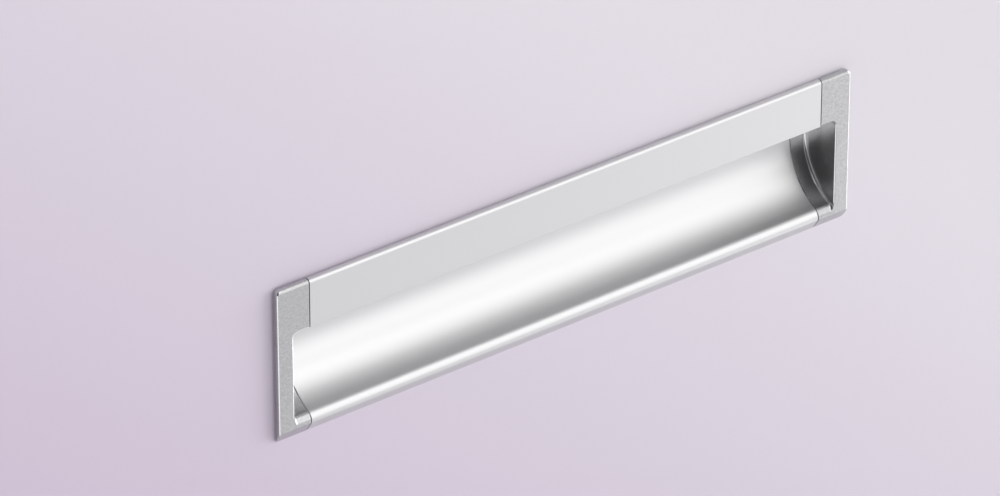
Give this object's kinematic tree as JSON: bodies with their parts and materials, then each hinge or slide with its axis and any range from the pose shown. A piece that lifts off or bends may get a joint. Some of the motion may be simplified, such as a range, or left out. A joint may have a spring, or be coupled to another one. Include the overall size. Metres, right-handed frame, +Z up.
{
  "type": "recessed profile handle",
  "caption": "Recessed furniture handle: satin aluminium grip profile with a rounded finger trough, closed at each end by a silver-painted cast end cap.",
  "frame": {"origin": "middle of the handle on the surface of the furniture front, where the rim seats", "axes": "+X along the handle, +Y into the furniture front, +Z up; the finger trough opens towards -Y under the flange"},
  "size_m": [0.17, 0.0135, 0.043],
  "materials": {
    "satin_aluminium": "satin anodised",
    "silver_paint": "satin metallic paint on die-cast zinc"
  },
  "bodies": {
    "root": {"grip_profile": "satin_aluminium", "end_cap_left": "silver_paint", "end_cap_right": "silver_paint"}
  },
  "joints": []
}
